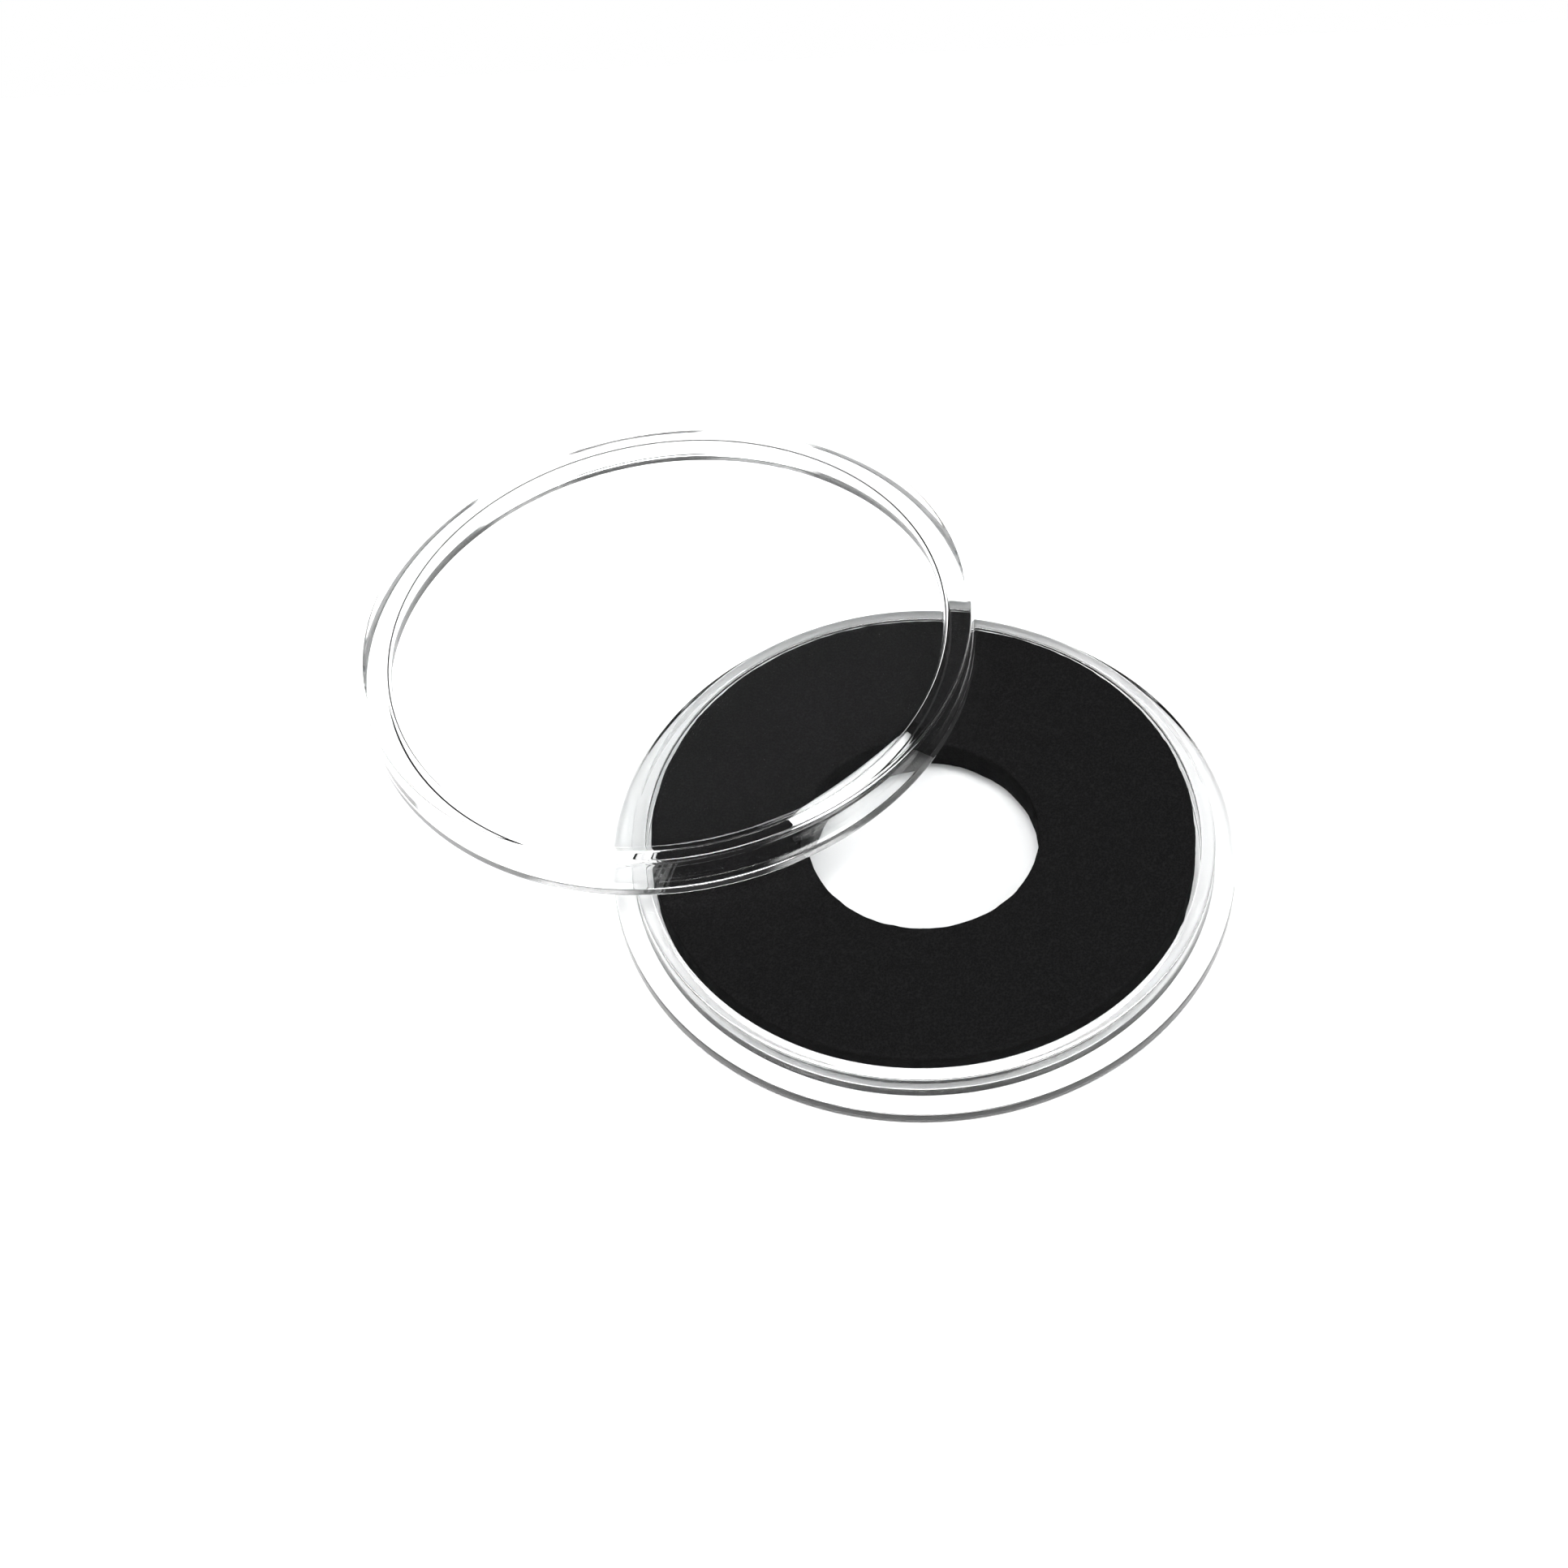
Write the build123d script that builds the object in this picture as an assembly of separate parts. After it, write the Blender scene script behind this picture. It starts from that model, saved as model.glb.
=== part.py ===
from build123d import *
import os
from math import atan, cos, degrees, radians, sin

# Round coin capsule, opened: a clear base that holds a foam coin ring, and the clear lid, open side down,
# lying half on the base and half on the table.
# Millimetres, +Z up. The origin is the centre of the base's underside, which rests on the table at z = 0.

# Foam coin ring
foam_dia = 46.0  # the size that the capsule is sold by
foam_thick = 3.0
coin_hole_dia = 19.6

# Base: a floor disc that runs out as a brim, and a ring wall on it
floor_thick = 1.5
foam_gap = 0.5  # from the foam's edge to the wall
wall_thick = 1.2
wall_height = 2.4  # above the floor
brim_width = 1.8  # outside the wall

# Lid: a window plate with a ring wall that slides over the base's wall and seats on the brim
fit_gap = 0.1  # from the base's wall to the lid's bore, each side
lid_overhang = 0.4  # past the brim, as a thumb grip
window_thick = 1.5
head_gap = 0.05  # closed, left under the window over the ring or the wall, whichever is taller

# Moulded edges
base_edge_round = 0.35
base_lip_round = 0.25
base_foot_round = 0.15
lid_crown_round = 0.35
lid_rim_round = 0.6
lid_mouth_round = 0.2
lid_corner_round = 0.6

# How the open lid lies
lid_shift = 30.0  # from the base's centre to the lid's, seen from above
lid_bearing = 135.0  # direction of that shift, in degrees from +X towards +Y
contact_gap = 0.08  # left wherever the lid rests on something

# Sizes that follow
foam_radius = foam_dia / 2
wall_inner_radius = foam_radius + foam_gap
wall_outer_radius = wall_inner_radius + wall_thick
wall_top = floor_thick + wall_height
brim_radius = wall_outer_radius + brim_width
foam_top = floor_thick + foam_thick
lid_bore_radius = wall_outer_radius + fit_gap
lid_radius = brim_radius + lid_overhang
lid_depth = max(wall_height, foam_thick) + head_gap
lid_height = lid_depth + window_thick

ON_FLOOR = (Align.CENTER, Align.CENTER, Align.MIN)


def disc(radius, bottom, top):
    return Pos(0, 0, bottom) * Cylinder(radius, top - bottom, align=ON_FLOOR)


def round_edge(solid, radius, height, rounding):
    """Rounds the circular edge of the given radius that lies at the given height."""
    circles = solid.edges().filter_by(GeomType.CIRCLE)
    found = [e for e in circles if abs(e.radius - radius) < 1e-4 and abs((e @ 0).Z - height) < 1e-4]
    return fillet(found, rounding)


def base_shell():
    shell = disc(brim_radius, 0, floor_thick) + disc(wall_outer_radius, floor_thick, wall_top)
    shell -= disc(wall_inner_radius, floor_thick, wall_top)
    shell = round_edge(shell, brim_radius, 0, base_edge_round)
    shell = round_edge(shell, brim_radius, floor_thick, base_edge_round)
    shell = round_edge(shell, wall_outer_radius, floor_thick, base_foot_round)
    shell = round_edge(shell, wall_outer_radius, wall_top, base_lip_round)
    return round_edge(shell, wall_inner_radius, wall_top, base_lip_round)


def foam_ring():
    return disc(foam_radius, floor_thick, foam_top) - disc(coin_hole_dia / 2, floor_thick, foam_top)


def lid_shell():
    """The lid on its own axis, with its rim at z = 0 and its window on top."""
    shell = disc(lid_radius, 0, lid_height) - disc(lid_bore_radius, 0, lid_depth)
    shell = round_edge(shell, lid_radius, lid_height, lid_crown_round)
    shell = round_edge(shell, lid_radius, 0, lid_rim_round)
    shell = round_edge(shell, lid_bore_radius, 0, lid_mouth_round)
    return round_edge(shell, lid_bore_radius, lid_depth, lid_corner_round)


def lean_over(edge_radius, edge_height):
    """Slope at which the lid's rim, with one side on the table, just clears a round edge of the base.

    The lowest place where they cross is where the lid's bore passes over the edge.
    """
    crossing = (lid_shift**2 + edge_radius**2 - lid_bore_radius**2) / (2 * lid_shift)
    return (edge_height + contact_gap) / (lid_shift + lid_radius - crossing)


def lay_lid(shell):
    slope = max(lean_over(wall_outer_radius, wall_top), lean_over(foam_radius, foam_top))
    tilt = atan(slope)
    away = radians(lid_bearing)
    spared = lid_rim_round * (sin(tilt) + cos(tilt) - 1)  # the rounded rim reaches less far down than a sharp one
    low_side_lift = lid_radius * sin(tilt) - spared + contact_gap
    place = Pos(lid_shift * cos(away), lid_shift * sin(away), low_side_lift)
    return place * Rot(0, 0, lid_bearing) * Rot(0, degrees(tilt), 0) * shell


nodes = {
    "base_shell": base_shell(),
    "foam_ring": foam_ring(),
    "lid_shell": lay_lid(lid_shell()),
}

os.makedirs("parts", exist_ok=True)
for name, solid in nodes.items():
    export_step(solid, f"parts/{name}.step")
    box = solid.bounding_box()
    print(name, round(solid.volume, 1), "mm3", box.min, box.max)
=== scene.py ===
import math

import bpy
from mathutils import Matrix, Vector


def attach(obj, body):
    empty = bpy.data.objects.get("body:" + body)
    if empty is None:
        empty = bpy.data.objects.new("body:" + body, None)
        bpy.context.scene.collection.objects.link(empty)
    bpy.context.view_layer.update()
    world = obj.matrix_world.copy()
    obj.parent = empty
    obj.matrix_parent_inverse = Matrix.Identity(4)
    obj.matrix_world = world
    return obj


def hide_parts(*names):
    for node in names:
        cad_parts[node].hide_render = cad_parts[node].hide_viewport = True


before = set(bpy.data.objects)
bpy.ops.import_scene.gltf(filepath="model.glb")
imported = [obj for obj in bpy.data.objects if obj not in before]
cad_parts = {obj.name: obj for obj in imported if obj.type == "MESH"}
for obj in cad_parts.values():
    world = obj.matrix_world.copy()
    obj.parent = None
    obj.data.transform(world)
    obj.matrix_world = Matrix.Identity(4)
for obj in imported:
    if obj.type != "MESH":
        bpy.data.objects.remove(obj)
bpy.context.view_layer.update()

# Coin capsule, opened: a clear base with its foam coin ring, and the clear lid lying half on it.
# The scene is in metres, in the CAD frame; the sizes in the dictionaries are millimetres.
mm = 0.001


class Wire:
    # A node socket that can be used in sums: each sum adds a Math node to its tree.
    def __init__(self, tree, socket=None):
        self.tree = tree
        self.socket = socket

    def output(self, name):
        return Wire(self.tree, self.socket.node.outputs[name])

    def node(self, kind, settings=None, values=None, output=0):
        made = self.tree.nodes.new(kind)
        for name, value in (settings or {}).items():
            if name == "stops":
                while len(made.color_ramp.elements) < len(value):
                    made.color_ramp.elements.new(1.0)
                for stop, (place, grey) in zip(made.color_ramp.elements, value):
                    stop.position = place
                    stop.color = (grey, grey, grey, 1)
            elif name == "choices":
                while len(made.index_switch_items) < value:
                    made.index_switch_items.new()
            else:
                setattr(made, name, value)
        for key, value in (values or {}).items():
            if isinstance(value, Wire):
                self.tree.links.new(value.socket, made.inputs[key])
            else:
                made.inputs[key].default_value = value
        return Wire(self.tree, made.outputs[output])

    def math(self, operation, first, second=0.0):
        return self.node("ShaderNodeMath", {"operation": operation}, {0: first, 1: second})

    def __add__(self, other):
        return self.math("ADD", self, other)

    __radd__ = __add__

    def __sub__(self, other):
        return self.math("SUBTRACT", self, other)

    def __rsub__(self, other):
        return self.math("SUBTRACT", other, self)

    def __mul__(self, other):
        return self.math("MULTIPLY", self, other)

    __rmul__ = __mul__


# Sizes that the pieces share, as in the CAD.
capsule = {
    "foamDia": 46.0,
    "foamThick": 3.0,
    "coinHoleDia": 19.6,
    "floorThick": 1.5,
    "foamGap": 0.5,
    "wallThick": 1.2,
    "wallHeight": 2.4,
    "brimWidth": 1.8,
    "fitGap": 0.1,
    "lidOverhang": 0.4,
    "windowThick": 1.5,
    "headGap": 0.05,
    "lidShift": 30.0,
    "lidBearing": 135.0,  # degrees from +X towards +Y
    "contactGap": 0.08,
}
foamRadius = capsule["foamDia"] / 2
wallInner = foamRadius + capsule["foamGap"]
wallOuter = wallInner + capsule["wallThick"]
wallTop = capsule["floorThick"] + capsule["wallHeight"]
foamTop = capsule["floorThick"] + capsule["foamThick"]
brimRadius = wallOuter + capsule["brimWidth"]
boreRadius = wallOuter + capsule["fitGap"]
lidRadius = brimRadius + capsule["lidOverhang"]
lidDepth = max(capsule["wallHeight"], capsule["foamThick"]) + capsule["headGap"]
lidHeight = lidDepth + capsule["windowThick"]


# A turned piece is a profile of level and upright runs, rounded at its corners and swept round the Z axis.
# Short runs beside each rounding, as long as guard, keep the flats' shading flat.
def profilePoints(corners, sizes, wires, closed):
    plain, wired = corners(sizes), corners(wires)
    points = []
    for index, (radius, height, rounding) in enumerate(wired):
        if not closed and index in (0, len(wired) - 1):
            points.append((radius, height, 0.0))
            continue
        around = []
        for other in (index - 1, (index + 1) % len(plain)):
            outward = plain[other][0] - plain[index][0]
            upward = plain[other][1] - plain[index][1]
            reach = rounding + wires["guard"]
            if abs(outward) > abs(upward):
                around.append((radius + reach if outward > 0 else radius - reach, height, 0.0))
            else:
                around.append((radius, height + reach if upward > 0 else height - reach, 0.0))
        points += [around[0], (radius, height, rounding), around[1]]
    return points


def turnedPiece(name, corners, sizes, material, closed=False, finish=None):
    tree = bpy.data.node_groups.new(name + "Lathe", "GeometryNodeTree")
    tree.interface.new_socket("Geometry", in_out="OUTPUT", socket_type="NodeSocketGeometry")
    identifiers = {}
    for label, value in sizes.items():
        kind = "NodeSocketInt" if isinstance(value, int) else "NodeSocketFloat"
        made = tree.interface.new_socket(label, in_out="INPUT", socket_type=kind)
        identifiers[label] = made.identifier
    source = tree.nodes.new("NodeGroupInput")
    wires = {label: Wire(tree, source.outputs[label]) for label in sizes}
    maker = Wire(tree)
    points = profilePoints(corners, sizes, wires, closed)
    index = maker.node("GeometryNodeInputIndex")
    spots, roundings = {"Index": index}, {"Index": index}
    for number, (radius, height, rounding) in enumerate(points):
        across = radius - wires["railRadius"]
        spots[number + 1] = maker.node("ShaderNodeCombineXYZ", values={0: across, 1: 0.0 - height})
        roundings[number + 1] = rounding
    many = len(points)
    spot = maker.node("GeometryNodeIndexSwitch", {"data_type": "VECTOR", "choices": many}, spots)
    rounding = maker.node("GeometryNodeIndexSwitch", {"data_type": "FLOAT", "choices": many}, roundings)
    line = maker.node("GeometryNodeMeshLine", values={"Count": many})
    line = maker.node("GeometryNodeMeshToCurve", values={"Mesh": line})
    line = maker.node("GeometryNodeSetSplineCyclic", values={0: line, "Cyclic": closed})
    line = maker.node("GeometryNodeSetPosition", values={0: line, "Position": spot})
    line = maker.node(
        "GeometryNodeFilletCurve",
        {"mode": "POLY"},
        {0: line, "Count": wires["cornerSteps"], "Radius": rounding},
    )
    if "stepLength" in sizes:
        line = maker.node(
            "GeometryNodeResampleCurve", {"mode": "LENGTH"}, {0: line, "Length": wires["stepLength"]}
        )
    rail = maker.node(
        "GeometryNodeCurvePrimitiveCircle",
        values={"Resolution": wires["segments"], "Radius": wires["railRadius"]},
    )
    shape = maker.node("GeometryNodeCurveToMesh", values={"Curve": rail, "Profile Curve": line})
    shape = maker.node("GeometryNodeMergeByDistance", values={0: shape, "Distance": 1e-6})
    shape = maker.node("GeometryNodeFlipFaces", values={0: shape})
    if finish:
        shape = finish(maker, shape, wires)
    shape = maker.node("GeometryNodeSetShadeSmooth", values={0: shape})
    shape = maker.node("GeometryNodeRealizeInstances", values={0: shape})
    shape = maker.node("GeometryNodeSetMaterial", values={0: shape, "Material": material})
    end = tree.nodes.new("NodeGroupOutput")
    tree.links.new(shape.socket, end.inputs[0])

    blank = bpy.data.objects.new(name + "Blank", bpy.data.meshes.new(name + "Blank"))
    bpy.context.scene.collection.objects.link(blank)
    lathe = blank.modifiers.new("Lathe", "NODES")
    lathe.node_group = tree
    for label, value in sizes.items():
        lathe[identifiers[label]] = value if isinstance(value, int) else value * mm
    graph = bpy.context.evaluated_depsgraph_get()
    mesh = bpy.data.meshes.new_from_object(blank.evaluated_get(graph))
    bpy.data.objects.remove(blank)
    mesh.name = name
    piece = bpy.data.objects.new(name, mesh)
    bpy.context.scene.collection.objects.link(piece)
    print(name, len(mesh.vertices), "points", len(mesh.polygons), "faces")
    return piece


def newMaterial(name):
    material = bpy.data.materials.new(name)
    material.use_nodes = True
    material.node_tree.nodes.clear()
    return material, Wire(material.node_tree)


def finishMaterial(material, shader):
    end = material.node_tree.nodes.new("ShaderNodeOutputMaterial")
    material.node_tree.links.new(shader.socket, end.inputs["Surface"])


plastic = {
    "refraction": 1.49,
    "tint": (0.985, 0.99, 0.99, 1),
    "flowSize": 7.0,  # the moulding's slow waves, mm
    "flowDepth": 0.01,
    "polish": 0.0,  # roughness where nothing has rubbed
    "scuff": 0.03,  # and what rubbing adds
    "rubScale": 900.0,  # per metre, as every scale here is
    "rubStart": 0.6,
    "rubFull": 0.75,
    "baseSeed": 1.0,
    "lidSeed": 4.0,
    "baseLampShare": 0.2,  # how much lamp light each surface lets straight through
    "lidLampShare": 0.6,
}


def clearPlastic(name, seed, lampShare):
    material, maker = newMaterial(name)
    place = maker.node("ShaderNodeTexCoord", output="Object")
    flow = maker.node(
        "ShaderNodeTexNoise",
        {"noise_dimensions": "4D"},
        {"Vector": place, "W": seed, "Scale": 1 / (plastic["flowSize"] * mm), "Detail": 1.0},
    )
    waves = maker.node(
        "ShaderNodeBump", values={"Strength": 1.0, "Distance": plastic["flowDepth"] * mm, "Height": flow}
    )
    rubs = maker.node(
        "ShaderNodeTexNoise",
        {"noise_dimensions": "4D"},
        {"Vector": place, "W": seed, "Scale": plastic["rubScale"], "Detail": 2.0},
    )
    stops = [(plastic["rubStart"], 0.0), (plastic["rubFull"], 1.0)]
    rubbed = maker.node("ShaderNodeValToRGB", {"stops": stops}, {"Fac": rubs})
    body = maker.node(
        "ShaderNodeBsdfPrincipled",
        values={
            "Base Color": plastic["tint"],
            "Roughness": rubbed * plastic["scuff"] + plastic["polish"],
            "IOR": plastic["refraction"],
            "Transmission Weight": 1.0,
            "Normal": waves,
        },
    )
    lampRay = maker.node("ShaderNodeLightPath", output="Is Shadow Ray")
    # this lamp light comes on top of what the plastic bends, and keeps its shadow on the table pale
    opening = maker.node(
        "ShaderNodeBsdfTransparent", values={"Color": (lampShare, lampShare, lampShare, 1)}
    )
    finishMaterial(material, maker.node("ShaderNodeMixShader", values={0: lampRay, 1: body, 2: opening}))
    return material


foamLook = {
    "dark": (0.0006, 0.0006, 0.0007, 1),
    "light": (0.0075, 0.0075, 0.0077, 1),
    "cellSize": 0.16,
    "cellDepth": 0.06,
    "patchScale": 700.0,
    "cellRise": 0.6,  # how much cells and patches count in the bump
    "patchRise": 0.8,
    "cellTint": 0.9,  # and in the colour
    "patchTint": 0.3,
    "smoothest": 0.8,  # roughness where the skin is closest
    "roughSpread": 0.15,
    "sheen": 0.05,
}


def blackFoam():
    material, maker = newMaterial("blackFoam")
    place = maker.node("ShaderNodeTexCoord", output="Object")
    cells = maker.node(
        "ShaderNodeTexVoronoi",
        {"feature": "F1"},
        {"Vector": place, "Scale": 1 / (foamLook["cellSize"] * mm)},
        "Distance",
    )
    patches = maker.node(
        "ShaderNodeTexNoise",
        values={"Vector": place, "Scale": foamLook["patchScale"], "Detail": 4.0},
    )
    height = cells * foamLook["cellRise"] + patches * foamLook["patchRise"]
    paleness = cells * foamLook["cellTint"] + patches * foamLook["patchTint"]
    shade = maker.node(
        "ShaderNodeMix",
        {"data_type": "RGBA"},
        {"Factor": paleness, "A": foamLook["dark"], "B": foamLook["light"]},
        "Result",
    )
    grain = maker.node(
        "ShaderNodeBump",
        values={"Strength": 0.7, "Distance": foamLook["cellDepth"] * mm, "Height": height},
    )
    body = maker.node(
        "ShaderNodeBsdfPrincipled",
        values={
            "Base Color": shade,
            "Roughness": foamLook["smoothest"] + patches * foamLook["roughSpread"],
            "Specular IOR Level": foamLook["sheen"],
            "Normal": grain,
        },
    )
    finishMaterial(material, body)
    return material


# Base: a floor disc with a brim, and a ring wall round the foam.
baseShell = {
    "brimRadius": brimRadius,
    "floorTop": capsule["floorThick"],
    "wallOuter": wallOuter,
    "wallInner": wallInner,
    "wallTop": wallTop,
    "edgeRound": 0.35,
    "lipRound": 0.25,
    "footRound": 0.15,
    "guard": 0.08,
    "railRadius": 10.0,
    "segments": 360,
    "cornerSteps": 6,
}


def baseCorners(size):
    return [
        (0.0, 0.0, 0.0),
        (size["brimRadius"], 0.0, size["edgeRound"]),
        (size["brimRadius"], size["floorTop"], size["edgeRound"]),
        (size["wallOuter"], size["floorTop"], size["footRound"]),
        (size["wallOuter"], size["wallTop"], size["lipRound"]),
        (size["wallInner"], size["wallTop"], size["lipRound"]),
        (size["wallInner"], size["floorTop"], size["footRound"]),
        (0.0, size["floorTop"], 0.0),
    ]


basePlastic = clearPlastic("clearPlasticBase", plastic["baseSeed"], plastic["baseLampShare"])
base = turnedPiece("clearBase", baseCorners, baseShell, basePlastic)
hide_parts("base_shell")
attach(base, "base")
print("base done, brim radius", brimRadius, "mm")

# Lid: a window plate with a ring wall, profiled on its own axis with its rim at height zero.
lidShell = {
    "lidRadius": lidRadius,
    "lidHeight": lidHeight,
    "boreRadius": boreRadius,
    "lidDepth": lidDepth,
    "crownRound": 0.35,
    "rimRound": 0.6,
    "mouthRound": 0.2,
    "cornerRound": 0.6,
    "guard": 0.08,
    "railRadius": 10.0,
    "segments": 360,
    "cornerSteps": 6,
}


def lidCorners(size):
    return [
        (0.0, size["lidDepth"], 0.0),
        (size["boreRadius"], size["lidDepth"], size["cornerRound"]),
        (size["boreRadius"], 0.0, size["mouthRound"]),
        (size["lidRadius"], 0.0, size["rimRound"]),
        (size["lidRadius"], size["lidHeight"], size["crownRound"]),
        (0.0, size["lidHeight"], 0.0),
    ]


def leanOver(edgeRadius, edgeHeight):
    # slope of the lid with one side on the table and its bore crossing this round edge of the base
    shift = capsule["lidShift"]
    crossing = (shift**2 + edgeRadius**2 - boreRadius**2) / (2 * shift)
    return (edgeHeight + capsule["contactGap"]) / (shift + lidRadius - crossing)


lidTilt = math.atan(max(leanOver(wallOuter, wallTop), leanOver(foamRadius, foamTop)))
lidBearing = math.radians(capsule["lidBearing"])
# the rounded rim reaches less far down than a sharp one
spared = lidShell["rimRound"] * (math.sin(lidTilt) + math.cos(lidTilt) - 1)
lidPlace = Vector(
    (
        capsule["lidShift"] * math.cos(lidBearing),
        capsule["lidShift"] * math.sin(lidBearing),
        lidRadius * math.sin(lidTilt) - spared + capsule["contactGap"],
    )
)
lidLie = (
    Matrix.Translation(lidPlace * mm)
    @ Matrix.Rotation(lidBearing, 4, "Z")
    @ Matrix.Rotation(lidTilt, 4, "Y")
)
lidPlastic = clearPlastic("clearPlasticLid", plastic["lidSeed"], plastic["lidLampShare"])
lid = turnedPiece("clearLid", lidCorners, lidShell, lidPlastic)
lid.data.transform(lidLie)
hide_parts("lid_shell")
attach(lid, "lid")
print("lid done, leaning", round(math.degrees(lidTilt), 2), "degrees")

# Foam coin ring, die-cut from sheet.
foamRing = {
    "outerRadius": foamRadius,
    "holeRadius": capsule["coinHoleDia"] / 2,
    "underside": capsule["floorThick"] + 0.03,  # just clear of the base's floor
    "foamTop": foamTop,
    "edgeRound": 0.12,
    "guard": 0.05,
    "stepLength": 0.26,
    "cutWander": 0.22,
    "cutNicks": 0.09,
    "topWander": 0.05,
    "railRadius": 10.0,
    "segments": 600,
    "cornerSteps": 2,
}


def foamCorners(size):
    return [
        (size["holeRadius"], size["underside"], size["edgeRound"]),
        (size["outerRadius"], size["underside"], size["edgeRound"]),
        (size["outerRadius"], size["foamTop"], size["edgeRound"]),
        (size["holeRadius"], size["foamTop"], size["edgeRound"]),
    ]


cutting = {
    "wanderScale": 450.0,
    "nickScale": 1500.0,
    "dipScale": 260.0,
    "skinAbove": 3.0,  # only what stands higher than this is the top skin, mm
}


def dieCut(maker, shape, size):
    # the knife's cut wanders in and out, and the skin on top is not quite flat
    place = maker.node("GeometryNodeInputPosition")
    parts = maker.node("ShaderNodeSeparateXYZ", values={0: place})
    height = parts.output("Z")
    along = maker.node("ShaderNodeCombineXYZ", values={0: parts.output("X"), 1: parts.output("Y")})
    wander = maker.node(
        "ShaderNodeTexNoise",
        values={"Vector": along, "Scale": cutting["wanderScale"], "Detail": 1.0},
    )
    nicks = maker.node(
        "ShaderNodeTexNoise",
        values={"Vector": place, "Scale": cutting["nickScale"], "Detail": 2.0},
    )
    push = (wander - 0.5) * size["cutWander"] + (nicks - 0.5) * size["cutNicks"]
    outward = maker.node("ShaderNodeVectorMath", {"operation": "NORMALIZE"}, {0: along})
    sideways = maker.node("ShaderNodeVectorMath", {"operation": "SCALE"}, {0: outward, "Scale": push})
    dips = maker.node(
        "ShaderNodeTexNoise",
        values={"Vector": place, "Scale": cutting["dipScale"], "Detail": 3.0},
    )
    onTop = maker.math("GREATER_THAN", height, cutting["skinAbove"] * mm)
    lift = (dips - 0.5) * size["topWander"] * onTop
    upward = maker.node("ShaderNodeCombineXYZ", values={2: lift})
    move = maker.node("ShaderNodeVectorMath", {"operation": "ADD"}, {0: sideways, 1: upward})
    return maker.node("GeometryNodeSetPosition", values={0: shape, "Offset": move})


ring = turnedPiece("foamCoinRing", foamCorners, foamRing, blackFoam(), closed=True, finish=dieCut)
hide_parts("foam_ring")
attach(ring, "ring")
print("foam ring done, top at", foamTop, "mm")

# A small pale table in a dim room.
studio = {
    "tableSize": 0.2,  # metres; a low camera looks past its edge into the dim room
    "tableGap": 0.02,
    "tableColour": (0.9, 0.9, 0.9, 1),
    "roomLight": 0.04,
    "backdrop": 1.0,  # how bright the room looks straight from the camera
    "boxEdge": 6.0,  # half the soft fade at a box's edge, degrees
}
bpy.ops.mesh.primitive_plane_add(size=studio["tableSize"], location=(0, 0, -studio["tableGap"] * mm))
table = bpy.context.object
table.name = "table"
tableMaterial, maker = newMaterial("paleTable")
finishMaterial(
    tableMaterial,
    maker.node("ShaderNodeBsdfDiffuse", values={"Color": studio["tableColour"]}),
)
table.data.materials.append(tableMaterial)

# Soft boxes: where each is (azimuth from +Y towards +X, then elevation) and how wide, all in degrees,
# and how strong.
softBoxes = {
    "over": (180.0, 80.0, 12.0, 18.5),
    "frontLeft": (-130.0, 45.0, 12.0, 12.0),
    "frontRight": (130.0, 45.0, 12.0, 12.0),
}
world = bpy.data.worlds.new("studio")
bpy.context.scene.world = world
world.use_nodes = True
world.node_tree.nodes.clear()
maker = Wire(world.node_tree)
direction = maker.node("ShaderNodeTexCoord", output="Generated")
light = studio["roomLight"]
for azimuth, elevation, width, strength in softBoxes.values():
    side, rise = math.radians(azimuth), math.radians(elevation)
    centre = (math.sin(side) * math.cos(rise), math.cos(side) * math.cos(rise), math.sin(rise))
    aim = maker.node(
        "ShaderNodeVectorMath", {"operation": "DOT_PRODUCT"}, {0: direction, 1: centre}, "Value"
    )
    edge = math.cos(math.radians(width + studio["boxEdge"]))
    core = math.cos(math.radians(width - studio["boxEdge"]))
    inside = maker.node(
        "ShaderNodeMapRange",
        {"interpolation_type": "SMOOTHSTEP"},
        {"Value": aim, "From Min": edge, "From Max": core, "To Max": strength},
    )
    light = inside + light
seen = maker.node("ShaderNodeLightPath", output="Is Camera Ray")
light = maker.math("MAXIMUM", light, seen * studio["backdrop"])
glow = maker.node("ShaderNodeBackground", values={"Color": (1, 1, 1, 1), "Strength": light})
end = world.node_tree.nodes.new("ShaderNodeOutputWorld")
world.node_tree.links.new(glow.socket, end.inputs["Surface"])
print("table and", len(softBoxes), "soft boxes done")

# Where the camera looks and from where: millimetres and degrees.
view = {
    "target": (-11.72, 9.575, 0.0),
    "azimuth": 1.402,
    "elevation": 52.05,
    "roll": -3.82,
    "distance": 406.1,
    "lens": 107.42,
    "bounces": 24,  # of light, that a picture follows through the clear plastic
}
turn = math.radians(view["azimuth"])
rise = math.radians(view["elevation"])
roll = math.radians(view["roll"])
ahead = Vector((-math.sin(turn) * math.cos(rise), math.cos(turn) * math.cos(rise), -math.sin(rise)))
level = Vector((math.cos(turn), math.sin(turn), 0))
above = level.cross(ahead)
right = level * math.cos(roll) + above * math.sin(roll)
top = above * math.cos(roll) - level * math.sin(roll)
camera = bpy.data.objects.new("camera", bpy.data.cameras.new("camera"))
bpy.context.scene.collection.objects.link(camera)
camera.data.sensor_width = 36.0
camera.data.lens = view["lens"]
camera.data.clip_start = 0.01
camera.data.clip_end = 50.0
stand = Matrix((right, top, -ahead)).transposed().to_4x4()
stand.translation = (Vector(view["target"]) - ahead * view["distance"]) * mm
camera.matrix_world = stand
scene = bpy.context.scene
scene.camera = camera
scene.view_settings.view_transform = "Standard"
scene.cycles.use_denoising = True
scene.cycles.max_bounces = view["bounces"]
scene.cycles.transmission_bounces = view["bounces"]
scene.cycles.transparent_max_bounces = view["bounces"]

print("camera done")
